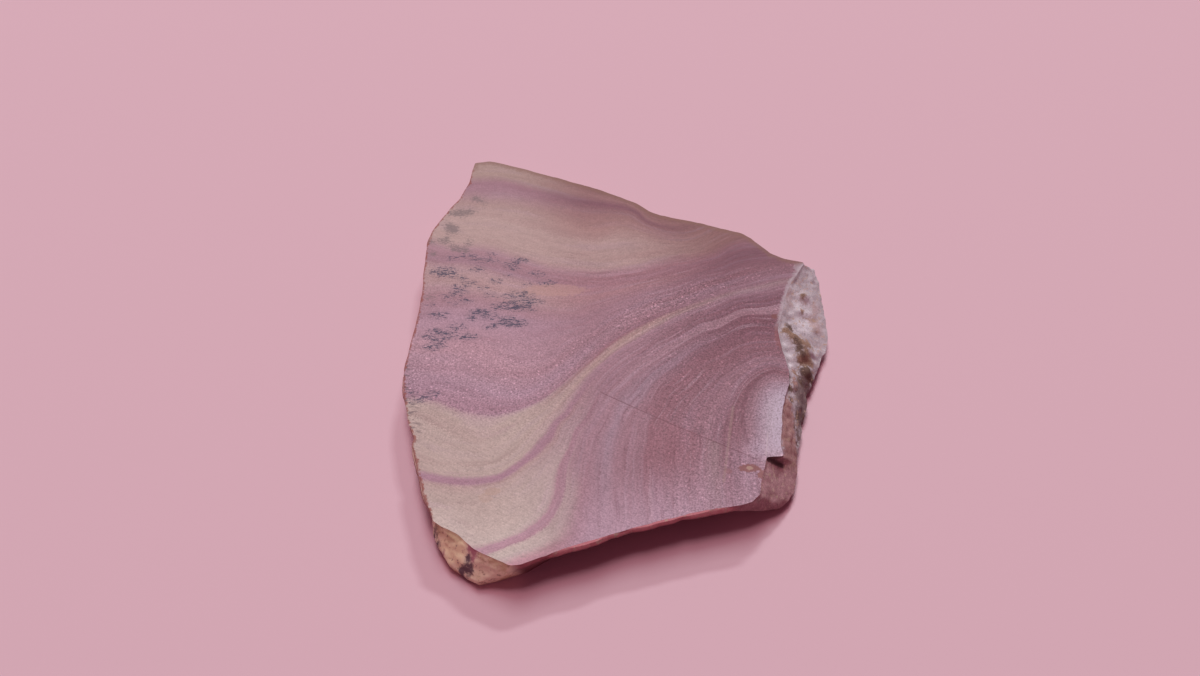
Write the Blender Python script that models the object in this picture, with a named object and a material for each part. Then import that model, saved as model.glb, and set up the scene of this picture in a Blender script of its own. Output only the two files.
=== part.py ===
"""Rhyolite slab: one slice of flow-banded rhyolite, about as big as a palm.

Both faces are sawn flat and parallel. All round, the edge is as the rock broke or weathered: a thin rind on
the far and left sides, a pitted crust on the right, a stepped fracture at the near right corner, an undercut
along the front and a long chip off the near left corner. It is one piece of rock, so it is one solid.

The tables are in millimetres in the slab's own frame: x and y from the middle of its outline, z up from the
face that it rests on. +Y is its long way, and the mesh is made in metres.
"""
import itertools

import bmesh
import bpy
import numpy as np

MM = 0.001
THICKNESS = 6.5

COLUMNS = 300
BROKEN_SHARES = (0.06, 0.16, 0.30, 0.46, 0.64, 0.82, 1.0)
WALL_SHARES = (0.25, 0.50, 0.78, 1.0)
STEP_SHARE = 0.06

# Sawn outline of the far side, clockwise from the far left corner, with its small notch: x, y.
FAR_SIDE = (
    (-28.3, 44.5), (-25.5, 45.0), (-21.5, 43.9), (-13.2, 40.8), (-3.5, 37.0), (3.7, 33.3), (6.3, 31.0),
    (8.4, 30.0), (16.0, 28.0), (23.3, 25.4), (25.2, 24.0), (28.5, 20.3), (31.0, 18.9), (34.5, 17.9),
)
# Crust down the right side: sawn x, y, then the rim's x, y, z, the step at the sawn edge, the foot's tuck.
CRUST = (
    (34.5, 17.5, 36.7, 18.2, 4.6, 0.0, 0.8),
    (32.0, 13.5, 37.5, 14.5, 3.8, 0.0, 0.8),
    (30.0, 8.5, 37.8, 9.5, 2.8, 0.1, 0.6),
    (28.3, 2.0, 38.0, 3.5, 2.2, 0.3, 0.5),
    (28.5, -1.0, 37.6, 0.5, 2.2, 0.3, 0.5),
    (28.8, -3.5, 36.3, -1.5, 2.1, 0.3, 0.5),
    (29.3, -7.0, 34.3, -5.5, 2.0, 0.4, 0.4),
    (29.0, -10.0, 33.0, -9.0, 2.1, 0.6, 0.4),
    (27.3, -15.5, 31.6, -15.5, 2.1, 0.3, 0.4),
    (26.5, -22.5, 29.8, -21.5, 1.8, 0.3, 0.4),
)
# Fracture at the near right corner, below a ledge of the sawn face: same seven measures.
FRACTURE = (
    (26.8, -24.4, 29.6, -22.8, 1.8, 0.7, 0.4),
    (24.0, -24.6, 29.4, -25.4, 1.8, 0.5, 0.4),
    (22.8, -28.5, 28.7, -28.5, 1.8, 0.2, 0.4),
    (22.3, -31.7, 26.6, -31.2, 1.8, 0.2, 0.5),
    (21.0, -33.1, 22.7, -32.6, 3.2, 0.2, 2.2),
    (19.7, -33.4, 20.6, -33.6, 4.8, 0.1, 3.8),
)
# Front, a narrow broken strip over a deep undercut: x, y, rim z, tuck.
FRONT_SIDE = (
    (17.5, -33.8, 5.8, 4.6), (11.0, -35.0, 5.9, 5.2), (1.5, -37.8, 5.9, 5.4), (-8.0, -41.0, 5.9, 4.8),
    (-15.8, -44.0, 5.6, 2.6),
)
# Slanting chip off the near left corner: same seven measures as the crust.
CHIP = (
    (-17.2, -44.2, -17.2, -44.5, 4.6, 0.1, 2.0),
    (-20.2, -42.6, -20.0, -44.5, 3.1, 0.2, 0.9),
    (-23.0, -41.2, -22.4, -44.7, 2.0, 0.2, 0.4),
    (-25.8, -38.6, -26.9, -41.8, 1.9, 0.2, 0.3),
    (-28.5, -37.2, -29.1, -38.3, 2.8, 0.2, 0.3),
    (-29.6, -36.4, -30.0, -36.4, 3.6, 0.2, 0.4),
)
# Sawn outline of the left side, from the chip back to the far left corner, with its notch: x, y.
LEFT_SIDE = (
    (-30.0, -35.0), (-31.4, -32.0), (-33.6, -24.5), (-34.3, -22.0), (-34.0, -21.0), (-35.2, -18.0),
    (-36.8, -11.5), (-37.2, -6.5), (-36.0, 3.5), (-35.7, 12.0), (-36.0, 22.5), (-35.2, 26.0), (-33.0, 30.5),
    (-30.5, 34.5), (-29.1, 39.0), (-28.6, 42.5),
)
# Lumps (positive) and pits (negative) of the broken edge: x, y, z, radius, height.
LUMPS_AND_PITS = (
    (33.5, 13.0, 5.8, 1.8, 0.4), (34.0, 11.0, 5.1, 0.8, -0.6), (33.0, 7.5, 5.0, 0.9, -0.5),
    (32.0, 9.5, 5.6, 1.0, 0.3), (34.5, 6.5, 4.3, 1.9, 0.6), (31.0, 5.0, 5.7, 1.1, 0.4),
    (30.0, 2.5, 5.7, 0.8, -0.7), (31.0, 1.0, 5.4, 1.1, -1.0), (32.0, -0.5, 4.9, 1.3, -1.2),
    (32.0, -2.5, 4.7, 1.2, -1.1), (33.5, -1.5, 4.1, 1.2, -0.7), (32.5, -5.5, 3.6, 1.1, -1.0),
    (36.0, 1.0, 3.1, 2.3, 0.6), (30.0, -2.5, 5.8, 0.8, 0.4), (30.0, -4.5, 5.7, 0.7, 0.3),
    (32.5, -8.5, 2.7, 1.0, 0.5), (30.5, -10.5, 4.7, 0.7, 0.3), (31.0, -12.5, 3.7, 0.9, -0.4),
    (32.0, -14.5, 2.3, 1.1, 0.5), (26.0, -28.0, 3.7, 2.2, 0.3), (24.5, -31.0, 4.4, 1.1, 0.4),
    (26.5, -30.5, 2.9, 0.8, -0.3), (-25.0, -42.0, 3.6, 1.2, -0.3), (-21.5, -44.0, 4.0, 1.2, 0.3),
    (-27.0, -39.5, 4.9, 1.0, 0.2),
)

FAR_REACH = (0.35, 0.6)
LEFT_REACH = (-0.15, -0.05)
FRONT_REACH = (0.1, -0.5)
RIND_STEP = 0.3
FRONT_STEP = 0.0
RIND_FULLNESS = 1.4
CRUST_FULLNESS = 1.2
BREAK_FULLNESS = 1.0
FRONT_FULLNESS = 1.6
ROUGHNESS = ((5.0, 0.32, 11), (2.4, 0.16, 12))
EDGE_RAGGEDNESS = (3.0, 0.14, 13)


def rind(points, reach, rim_height, tuck):
    """Stations of a weathered side, whose rim stands `reach` out from each point of the sawn outline."""
    return [(x, y, x + reach[0], y + reach[1], rim_height, RIND_STEP, tuck, RIND_FULLNESS) for x, y in points]


def undercut(points, reach):
    """Stations of the front, where each point has its own rim height and tuck."""
    return [
        (x, y, x + reach[0], y + reach[1], rim_height, FRONT_STEP, tuck, FRONT_FULLNESS)
        for x, y, rim_height, tuck in points
    ]


def broken(stations, fullness):
    """Stations whose seven measures are all given, with the fullness of their broken face added."""
    return [(*station, fullness) for station in stations]


def lattice_noise(points, cell, seed):
    """Smooth noise from -1 to 1: random values at the corners of cubes `cell` wide, smoothly blended."""
    size = 32
    values = np.random.default_rng(seed).uniform(-1.0, 1.0, (size, size, size))
    corner = np.floor(points / cell).astype(int)
    blend = points / cell - corner
    blend = blend * blend * (3.0 - 2.0 * blend)
    total = np.zeros(points.shape[:-1])
    for offset in itertools.product((0, 1), repeat=3):
        weight = np.prod(np.where(offset, blend, 1.0 - blend), axis=-1)
        i, j, k = np.moveaxis((corner + offset) % size, -1, 0)
        total += weight * values[i, j, k]
    return total


def around_the_edge(stations, columns):
    """Stations read at even steps along the closed edge, halfway between its sawn outline and its rim."""
    closed = np.vstack([stations, stations[:1]])
    sawn_run = np.linalg.norm(np.diff(closed[:, 0:2], axis=0), axis=1)
    rim_run = np.linalg.norm(np.diff(closed[:, 2:4], axis=0), axis=1)
    distance = np.concatenate([[0.0], np.cumsum((sawn_run + rim_run) / 2.0)])
    steps = np.linspace(0.0, distance[-1], columns, endpoint=False)
    return np.stack([np.interp(steps, distance, column) for column in closed.T], axis=1)


def edge_surface(edge):
    """Rings from the sawn edge over the broken face to the rim, then down the wall to the foot.

    On the broken face a point goes straight from sawn edge to rim. Its height first drops the step, within
    STEP_SHARE of the way, then the rest, as the share of the way to the power of the fullness. On the wall
    a point goes inward by the tuck, towards the slab's middle, and its height falls evenly to the foot.
    """
    sawn, rim = edge[:, 0:2], edge[:, 2:4]
    rim_height, step, tuck, fullness = edge[:, 4:8].T
    inward = -rim / np.linalg.norm(rim, axis=1, keepdims=True)
    rings = [np.column_stack([sawn, np.full(len(edge), THICKNESS)])]
    for share in BROKEN_SHARES:
        dropped = min(share / STEP_SHARE, 1.0) * step
        height = THICKNESS - dropped - (THICKNESS - step - rim_height) * share**fullness
        rings.append(np.column_stack([sawn + share * (rim - sawn), np.maximum(height, rim_height)]))
    for share in WALL_SHARES:
        rings.append(np.column_stack([rim + inward * (share * tuck)[:, None], rim_height * (1.0 - share)]))
    return np.array(rings)


def facing(surface):
    """Unit normals of a closed strip of rings, from its slopes along and across the rings."""
    along = np.roll(surface, -1, axis=1) - np.roll(surface, 1, axis=1)
    across = np.gradient(surface, axis=0)
    normal = np.cross(across, along)
    return normal / np.linalg.norm(normal, axis=-1, keepdims=True)


def weather(surface):
    """Roughen the edge along its normals, leaving the two sawn planes flat and only their outlines ragged.

    The roughness grows over the first part of the broken face and dies out over the lower half of the wall.
    The raggedness pushes both outlines in and out, and dies out over the first part of the broken face.
    """
    push = sum(size * lattice_noise(surface, cell, seed) for cell, size, seed in ROUGHNESS)
    for x, y, z, radius, height in LUMPS_AND_PITS:
        away = np.linalg.norm(surface - (x, y, z), axis=-1)
        push += height * np.exp(-((away / radius) ** 2))
    broken_shares = np.array((0.0, *BROKEN_SHARES))
    wall_shares = np.array(WALL_SHARES)
    broken_room = np.clip(broken_shares / 0.15, 0.0, 1.0)
    wall_room = np.clip((1.0 - wall_shares) / 0.5, 0.0, 1.0)
    room = np.concatenate([broken_room, wall_room])
    moved = surface + facing(surface) * (push * room[:, None])[..., None]
    ragged = np.concatenate([np.clip(1.0 - broken_shares / 0.4, 0.0, 1.0), wall_shares == 1.0])
    cell, size, seed = EDGE_RAGGEDNESS
    outward = surface[..., :2] / np.linalg.norm(surface[..., :2], axis=-1, keepdims=True)
    wander = size * lattice_noise(surface * (1.0, 1.0, 0.0) + (0.0, 0.0, THICKNESS), cell, seed)
    moved[..., :2] += outward * (wander * ragged[:, None])[..., None]
    moved[1:-1, :, 2] = np.clip(moved[1:-1, :, 2], 0.15, THICKNESS - 0.05)
    return moved


def loft(name, surface):
    """Mesh of the rings joined by quads, with a fan of triangles closing each sawn face at its middle."""
    mesh = bpy.data.meshes.new(name)
    shape = bmesh.new()
    rings = [[shape.verts.new(point) for point in ring] for ring in surface * MM]
    count = len(rings[0])
    for upper, lower in zip(rings, rings[1:]):
        for here in range(count):
            after = (here + 1) % count
            shape.faces.new((upper[here], upper[after], lower[after], lower[here]))
    top_middle = shape.verts.new((0.0, 0.0, THICKNESS * MM))
    foot_middle = shape.verts.new((0.0, 0.0, 0.0))
    for here in range(count):
        after = (here + 1) % count
        shape.faces.new((rings[0][after], rings[0][here], top_middle))
        shape.faces.new((rings[-1][here], rings[-1][after], foot_middle))
    bmesh.ops.triangulate(shape, faces=shape.faces[:])
    bmesh.ops.recalc_face_normals(shape, faces=shape.faces[:])
    shape.to_mesh(mesh)
    shape.free()
    mesh.shade_smooth()
    mesh.set_sharp_from_angle(angle=np.radians(28.0))
    return mesh


def rhyolite():
    """Dusty mauve stone with a soft sawn finish."""
    material = bpy.data.materials.new("rhyolite")
    material.use_nodes = True
    shader = material.node_tree.nodes["Principled BSDF"]
    shader.inputs["Base Color"].default_value = (0.38, 0.21, 0.25, 1.0)
    shader.inputs["Roughness"].default_value = 0.62
    shader.inputs["Metallic"].default_value = 0.0
    return material


for old in list(bpy.data.objects):
    bpy.data.objects.remove(old, do_unlink=True)

parts = bpy.data.collections.new("rhyolite_slab")
bpy.context.scene.collection.children.link(parts)

stations = np.array(
    rind(FAR_SIDE, FAR_REACH, 3.0, 1.6)
    + broken(CRUST, CRUST_FULLNESS)
    + broken(FRACTURE, BREAK_FULLNESS)
    + undercut(FRONT_SIDE, FRONT_REACH)
    + broken(CHIP, BREAK_FULLNESS)
    + rind(LEFT_SIDE, LEFT_REACH, 5.4, 0.9)
)
slab = bpy.data.objects.new("rhyolite_slab", loft("rhyolite_slab", weather(edge_surface(
    around_the_edge(stations, COLUMNS)))))
slab.data.materials.append(rhyolite())
parts.objects.link(slab)
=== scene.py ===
import itertools

import bpy
import numpy as np
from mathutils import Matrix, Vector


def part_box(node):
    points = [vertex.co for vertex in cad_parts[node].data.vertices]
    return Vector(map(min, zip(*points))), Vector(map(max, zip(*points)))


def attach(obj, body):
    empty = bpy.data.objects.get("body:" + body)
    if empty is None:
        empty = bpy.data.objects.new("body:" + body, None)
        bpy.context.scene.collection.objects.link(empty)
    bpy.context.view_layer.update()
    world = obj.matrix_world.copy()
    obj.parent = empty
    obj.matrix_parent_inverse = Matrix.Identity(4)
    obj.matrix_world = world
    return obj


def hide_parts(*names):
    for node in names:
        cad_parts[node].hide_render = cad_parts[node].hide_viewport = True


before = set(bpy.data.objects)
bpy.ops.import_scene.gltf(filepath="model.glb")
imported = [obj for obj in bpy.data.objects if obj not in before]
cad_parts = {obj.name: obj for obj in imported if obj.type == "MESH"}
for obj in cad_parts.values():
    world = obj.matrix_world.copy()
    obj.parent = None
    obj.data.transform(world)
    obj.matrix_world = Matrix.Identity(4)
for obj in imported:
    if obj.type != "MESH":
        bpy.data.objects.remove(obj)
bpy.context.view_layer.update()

# ----------------------------------------------------------------------------------------------------------
# Shape of the slab
#
# One slice of flow-banded rhyolite. Both faces are sawn flat; all round, the edge is as the rock broke or
# weathered: rind, pitted crust, a stepped fracture, an undercut front and a long chip. Sizes are in
# millimetres.
# ----------------------------------------------------------------------------------------------------------
MM = 0.001
SLAB_BOX = np.array(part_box("rhyolite_slab")) / MM
THICKNESS = SLAB_BOX[1, 2]

# Sawn outline of the far side, clockwise from the far left corner: x, y.
FAR_SIDE = (
    (-28.3, 44.5), (-25.5, 45.0), (-21.5, 43.9), (-13.2, 40.8), (-3.5, 37.0), (3.7, 33.3), (6.3, 31.0),
    (8.4, 30.0), (16.0, 28.0), (23.3, 25.4), (25.2, 24.0), (28.5, 20.3), (31.0, 18.9), (34.5, 17.9),
)
# Crust down the right side: sawn x, y, then the rim's x, y, z, the step at the sawn edge and the tuck of the
# foot.
CRUST = (
    (34.5, 17.5, 36.7, 18.2, 4.6, 0.0, 0.8),
    (32.0, 13.5, 37.5, 14.5, 3.8, 0.0, 0.8),
    (30.0, 8.5, 37.8, 9.5, 2.8, 0.1, 0.6),
    (28.3, 2.0, 38.0, 3.5, 2.2, 0.3, 0.5),
    (28.5, -1.0, 37.6, 0.5, 2.2, 0.3, 0.5),
    (28.8, -3.5, 36.3, -1.5, 2.1, 0.3, 0.5),
    (29.3, -7.0, 34.3, -5.5, 2.0, 0.4, 0.4),
    (29.0, -10.0, 33.0, -9.0, 2.1, 0.6, 0.4),
    (27.3, -15.5, 31.6, -15.5, 2.1, 0.3, 0.4),
    (26.5, -22.5, 29.8, -21.5, 1.8, 0.3, 0.4),
)
# Fracture at the near right corner, below a ledge of the sawn face: same seven measures.
FRACTURE = (
    (26.8, -24.4, 29.6, -22.8, 1.8, 0.7, 0.4),
    (24.0, -24.6, 29.4, -25.4, 1.8, 0.5, 0.4),
    (22.8, -28.5, 28.7, -28.5, 1.8, 0.2, 0.4),
    (22.3, -31.7, 26.6, -31.2, 1.8, 0.2, 0.5),
    (21.0, -33.1, 22.7, -32.6, 3.2, 0.2, 2.2),
    (19.7, -33.4, 20.6, -33.6, 4.8, 0.1, 3.8),
)
# Front, a narrow broken strip over a deep undercut: x, y, rim z, tuck.
FRONT_SIDE = (
    (17.5, -33.8, 5.8, 4.6), (11.0, -35.0, 5.9, 5.2), (1.5, -37.8, 5.9, 5.4), (-8.0, -41.0, 5.9, 4.8),
    (-15.8, -44.0, 5.6, 2.6),
)
# Slanting chip off the near left corner: same seven measures as the crust.
CHIP = (
    (-17.2, -44.2, -17.2, -44.5, 4.6, 0.1, 2.0),
    (-20.2, -42.6, -20.0, -44.5, 3.1, 0.2, 0.9),
    (-23.0, -41.2, -22.4, -44.7, 2.0, 0.2, 0.4),
    (-25.8, -38.6, -26.9, -41.8, 1.9, 0.2, 0.3),
    (-28.5, -37.2, -29.1, -38.3, 2.8, 0.2, 0.3),
    (-29.6, -36.4, -30.0, -36.4, 3.6, 0.2, 0.4),
)
# Sawn outline of the left side, from the chip back to the far left corner, with its notch: x, y.
LEFT_SIDE = (
    (-30.0, -35.0), (-31.4, -32.0), (-33.6, -24.5), (-34.3, -22.0), (-34.0, -21.0), (-35.2, -18.0),
    (-36.8, -11.5), (-37.2, -6.5), (-36.0, 3.5), (-35.7, 12.0), (-36.0, 22.5), (-35.2, 26.0), (-33.0, 30.5),
    (-30.5, 34.5), (-29.1, 39.0), (-28.6, 42.5),
)
# Lumps (positive) and pits (negative) of the broken edge: x, y, z, radius, height.
LUMPS_AND_PITS = (
    (33.5, 13.0, 5.8, 1.8, 0.4), (34.0, 11.0, 5.1, 0.8, -0.6), (33.0, 7.5, 5.0, 0.9, -0.5),
    (32.0, 9.5, 5.6, 1.0, 0.3), (34.5, 6.5, 4.3, 1.9, 0.6), (31.0, 5.0, 5.7, 1.1, 0.4),
    (30.0, 2.5, 5.7, 0.8, -0.7), (31.0, 1.0, 5.4, 1.1, -1.0), (32.0, -0.5, 4.9, 1.3, -1.2),
    (32.0, -2.5, 4.7, 1.2, -1.1), (33.5, -1.5, 4.1, 1.2, -0.7), (32.5, -5.5, 3.6, 1.1, -1.0),
    (36.0, 1.0, 3.1, 2.3, 0.6), (30.0, -2.5, 5.8, 0.8, 0.4), (30.0, -4.5, 5.7, 0.7, 0.3),
    (32.5, -8.5, 2.7, 1.0, 0.5), (30.5, -10.5, 4.7, 0.7, 0.3), (31.0, -12.5, 3.7, 0.9, -0.4),
    (32.0, -14.5, 2.3, 1.1, 0.5), (26.0, -28.0, 3.7, 2.2, 0.3), (24.5, -31.0, 4.4, 1.1, 0.4),
    (26.5, -30.5, 2.9, 0.8, -0.3), (-25.0, -42.0, 3.6, 1.2, -0.3), (-21.5, -44.0, 4.0, 1.2, 0.3),
    (-27.0, -39.5, 4.9, 1.0, 0.2),
)

# How far the rim stands out from the sawn outline: x, y.
FAR_REACH = (0.35, 0.6)
LEFT_REACH = (-0.15, -0.05)
FRONT_REACH = (0.1, -0.5)
# Rims and feet of the two rinds, which are even along each side.
FAR_RIM_HEIGHT = 3.0
FAR_TUCK = 1.6
LEFT_RIM_HEIGHT = 5.4
LEFT_TUCK = 0.9
RIND_STEP = 0.3
FRONT_STEP = 0.0
# How full the broken face stands between sawn edge and rim: 1 is straight, and more is rounder.
RIND_FULLNESS = 1.4
CRUST_FULLNESS = 1.2
BREAK_FULLNESS = 1.0
FRONT_FULLNESS = 1.6
# Shares of the broken face: the step falls within the first, the roughness grows over the second, and the
# raggedness of the sawn edge dies out over the third. The last is the share of the wall over which the
# roughness dies out again.
STEP_SHARE = 0.06
ROUGHENING_SHARE = 0.15
RAGGED_SHARE = 0.4
SMOOTH_WALL_SHARE = 0.5
# No broken stone comes nearer than this to the plane of the lower face, or to that of the upper one.
FOOT_CLEARANCE = 0.1
FACE_CLEARANCE = 0.01

# The edge has this many columns, and its stations are blended by a bell curve this many millimetres wide.
COLUMNS = 1000
SMOOTHING = 0.25
BLENDED_NEIGHBOURS = np.arange(-4, 5)
# Rings of the upper sawn face, the broken face, the wall and the lower sawn face, as shares of each.
FACE_SHARES = np.concatenate([np.linspace(1.0, 0.35, 41)[1:], np.linspace(0.35, 0.0, 7)[1:-1]])
BROKEN_SHARES = np.concatenate([[0.004, 0.02, 0.04, 0.06], np.linspace(0.1, 1.0, 22)])
WALL_SHARES = np.linspace(0.07, 1.0, 16)
FOOT_SHARES = np.linspace(1.0, 0.0, 11)[1:-1]
# Each layer of noise: the width of its cells, its height and its seed.
ROUGHNESS = ((5.0, 0.32, 11), (2.4, 0.16, 12))
GRIT = ((1.2, 0.11, 14), (0.6, 0.07, 15))
EDGE_RAGGEDNESS = ((3.0, 0.14, 13), (0.9, 0.06, 16))
CRESTS = (1.5, 0.14, 17)
# A crest is this high, in its layer's own heights, where its noise is zero, and it falls off at this rate.
CREST_TOP = 0.55
CREST_SLOPE = 2.0
LATTICE_SIZE = 32
# An edge between two faces looks sharp beyond this angle.
SHARP_ANGLE = np.radians(40.0)
# How much of the finest grit, and of the crests, each kind of edge has.
KINDS = {
    "far rind": (0.6, 0.0), "crust": (1.2, 1.0), "fracture": (0.9, 0.3), "front": (0.8, 0.0),
    "chip": (1.1, 0.2), "left rind": (0.6, 0.0),
}


def rind(points, reach, rim_height, tuck):
    """Stations of a weathered side, whose rim stands `reach` out from each point of the sawn outline."""
    return [
        (x, y, x + reach[0], y + reach[1], rim_height, RIND_STEP, tuck, RIND_FULLNESS)
        for x, y in points
    ]


def undercut(points, reach):
    """Stations of the front, where each point has its own rim height and tuck."""
    return [
        (x, y, x + reach[0], y + reach[1], rim_height, FRONT_STEP, tuck, FRONT_FULLNESS)
        for x, y, rim_height, tuck in points
    ]


def broken(stations, fullness):
    """Stations whose seven measures are all given, with the fullness of their broken face added."""
    return [(*station, fullness) for station in stations]


def lattice_noise(points, cell, seed):
    """Smooth noise from -1 to 1: random values at the corners of cubes `cell` wide, blended by a smoothstep.

    The cubes repeat after LATTICE_SIZE of them.
    """
    values = np.random.default_rng(seed).uniform(-1.0, 1.0, (LATTICE_SIZE, LATTICE_SIZE, LATTICE_SIZE))
    corner = np.floor(points / cell).astype(int)
    blend = points / cell - corner
    blend = blend * blend * (3.0 - 2.0 * blend)
    total = np.zeros(points.shape[:-1])
    for offset in itertools.product((0, 1), repeat=3):
        weight = np.prod(np.where(offset, blend, 1.0 - blend), axis=-1)
        i, j, k = np.moveaxis((corner + offset) % LATTICE_SIZE, -1, 0)
        total += weight * values[i, j, k]
    return total


def around_the_edge(stations, columns):
    """Stations read at even steps along the closed edge, halfway between its sawn outline and its rim.

    The readings are then averaged with their neighbours by a bell curve SMOOTHING millimetres wide.
    """
    closed = np.vstack([stations, stations[:1]])
    sawn_run = np.linalg.norm(np.diff(closed[:, 0:2], axis=0), axis=1)
    rim_run = np.linalg.norm(np.diff(closed[:, 2:4], axis=0), axis=1)
    distance = np.concatenate([[0.0], np.cumsum((sawn_run + rim_run) / 2.0)])
    steps = np.linspace(0.0, distance[-1], columns, endpoint=False)
    read = np.stack([np.interp(steps, distance, column) for column in closed.T], axis=1)
    bell = np.exp(-0.5 * (BLENDED_NEIGHBOURS * (distance[-1] / columns) / SMOOTHING) ** 2)
    shares = bell / bell.sum()
    return sum(share * np.roll(read, offset, axis=0) for share, offset in zip(shares, BLENDED_NEIGHBOURS))


def edge_surface(edge):
    """Rings from the sawn edge over the broken face to the rim, then down the wall to the foot.

    On the broken face a point goes straight from sawn edge to rim. Its height first drops the step, within
    STEP_SHARE of the way, and then the rest, as the share of the way to the power of the fullness. On the
    wall a point goes inward by the tuck, towards the slab's middle, and its height falls evenly to the foot.
    """
    sawn, rim = edge[:, 0:2], edge[:, 2:4]
    rim_height, step, tuck, fullness = edge[:, 4:8].T
    inward = -rim / np.linalg.norm(rim, axis=1, keepdims=True)
    rings = [np.column_stack([sawn, np.full(len(edge), THICKNESS)])]
    for share in BROKEN_SHARES:
        dropped = min(share / STEP_SHARE, 1.0) * step
        height = THICKNESS - dropped - (THICKNESS - step - rim_height) * share**fullness
        rings.append(np.column_stack([sawn + share * (rim - sawn), np.maximum(height, rim_height)]))
    for share in WALL_SHARES:
        rings.append(np.column_stack([rim + inward * (share * tuck)[:, None], rim_height * (1.0 - share)]))
    return np.array(rings)


def facing(surface):
    """Unit normals of a closed strip of rings, from its slopes along and across the rings."""
    along = np.roll(surface, -1, axis=1) - np.roll(surface, 1, axis=1)
    across = np.gradient(surface, axis=0)
    normal = np.cross(across, along)
    return normal / np.linalg.norm(normal, axis=-1, keepdims=True)


def weather(surface, grit, crested):
    """Roughen the edge along its normals, leaving the two sawn planes flat and only their outlines ragged.

    The roughness grows over the first part of the broken face and dies out over the lower part of the wall.
    The crests are sharp: each stands where its noise passes through zero. The raggedness pushes both outlines
    in and out, and dies out over the first part of the broken face. Nothing goes outside the slab's own box.
    """
    push = sum(size * lattice_noise(surface, cell, seed) for cell, size, seed in ROUGHNESS)
    push += grit * sum(size * lattice_noise(surface, cell, seed) for cell, size, seed in GRIT)
    cell, size, seed = CRESTS
    push += crested * size * (CREST_TOP - CREST_SLOPE * np.abs(lattice_noise(surface, cell, seed)))
    for x, y, z, radius, height in LUMPS_AND_PITS:
        away = np.linalg.norm(surface - (x, y, z), axis=-1)
        push += height * np.exp(-((away / radius) ** 2))
    broken_shares = np.concatenate([[0.0], BROKEN_SHARES])
    growing = np.clip(broken_shares / ROUGHENING_SHARE, 0.0, 1.0)
    fading = np.clip((1.0 - WALL_SHARES) / SMOOTH_WALL_SHARE, 0.0, 1.0)
    room = np.concatenate([growing, fading])
    moved = surface + facing(surface) * (push * room[:, None])[..., None]
    ragged = np.concatenate([np.clip(1.0 - broken_shares / RAGGED_SHARE, 0.0, 1.0), WALL_SHARES == 1.0])
    outward = surface[..., :2] / np.linalg.norm(surface[..., :2], axis=-1, keepdims=True)
    flat = surface * (1.0, 1.0, 0.0) + (0.0, 0.0, THICKNESS)
    wander = sum(size * lattice_noise(flat, cell, seed) for cell, size, seed in EDGE_RAGGEDNESS)
    moved[..., :2] += outward * (wander * ragged[:, None])[..., None]
    moved[1:-1, :, 2] = np.clip(moved[1:-1, :, 2], FOOT_CLEARANCE, THICKNESS - FACE_CLEARANCE)
    moved[..., :2] = np.clip(moved[..., :2], *SLAB_BOX[:, :2])
    return moved


def sawn_face(outline, shares):
    """Flat rings that shrink a sawn outline towards the slab's middle by each share."""
    return np.array([outline * (share, share, 1.0) for share in shares])


STATIONS = {
    "far rind": rind(FAR_SIDE, FAR_REACH, FAR_RIM_HEIGHT, FAR_TUCK),
    "crust": broken(CRUST, CRUST_FULLNESS),
    "fracture": broken(FRACTURE, BREAK_FULLNESS),
    "front": undercut(FRONT_SIDE, FRONT_REACH),
    "chip": broken(CHIP, BREAK_FULLNESS),
    "left rind": rind(LEFT_SIDE, LEFT_REACH, LEFT_RIM_HEIGHT, LEFT_TUCK),
}
kind_of_station = np.repeat(np.eye(len(KINDS)), [len(STATIONS[kind]) for kind in KINDS], axis=0)
measures = np.concatenate([STATIONS[kind] for kind in KINDS])
edge = around_the_edge(np.hstack([measures, kind_of_station]), COLUMNS)
kinds = edge[:, 8:]
side = weather(edge_surface(edge[:, :8]), *(kinds @ np.array(list(KINDS.values()))).T)
top = sawn_face(side[0], FACE_SHARES)[::-1]
foot = sawn_face(side[-1], FOOT_SHARES)
skin = np.concatenate([top, side, foot])
points = np.vstack([skin.reshape(-1, 3), (0.0, 0.0, THICKNESS), (0.0, 0.0, 0.0)])

grid = np.arange(len(skin) * COLUMNS).reshape(len(skin), COLUMNS)
after = np.roll(grid, -1, axis=1)
quads = np.stack([grid[:-1], after[:-1], after[1:], grid[1:]], axis=-1).reshape(-1, 4)
top_fan = np.stack([after[0], grid[0], np.full(COLUMNS, len(points) - 2)], axis=-1)
foot_fan = np.stack([grid[-1], after[-1], np.full(COLUMNS, len(points) - 1)], axis=-1)

slab_mesh = bpy.data.meshes.new("rhyolite")
slab_mesh.from_pydata(points * MM, [], quads.tolist() + top_fan.tolist() + foot_fan.tolist())
slab_mesh.validate()
slab = bpy.data.objects.new("rhyolite", slab_mesh)
bpy.context.scene.collection.objects.link(slab)
slab_mesh.shade_smooth()
slab_mesh.set_sharp_from_angle(angle=SHARP_ANGLE)


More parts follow.
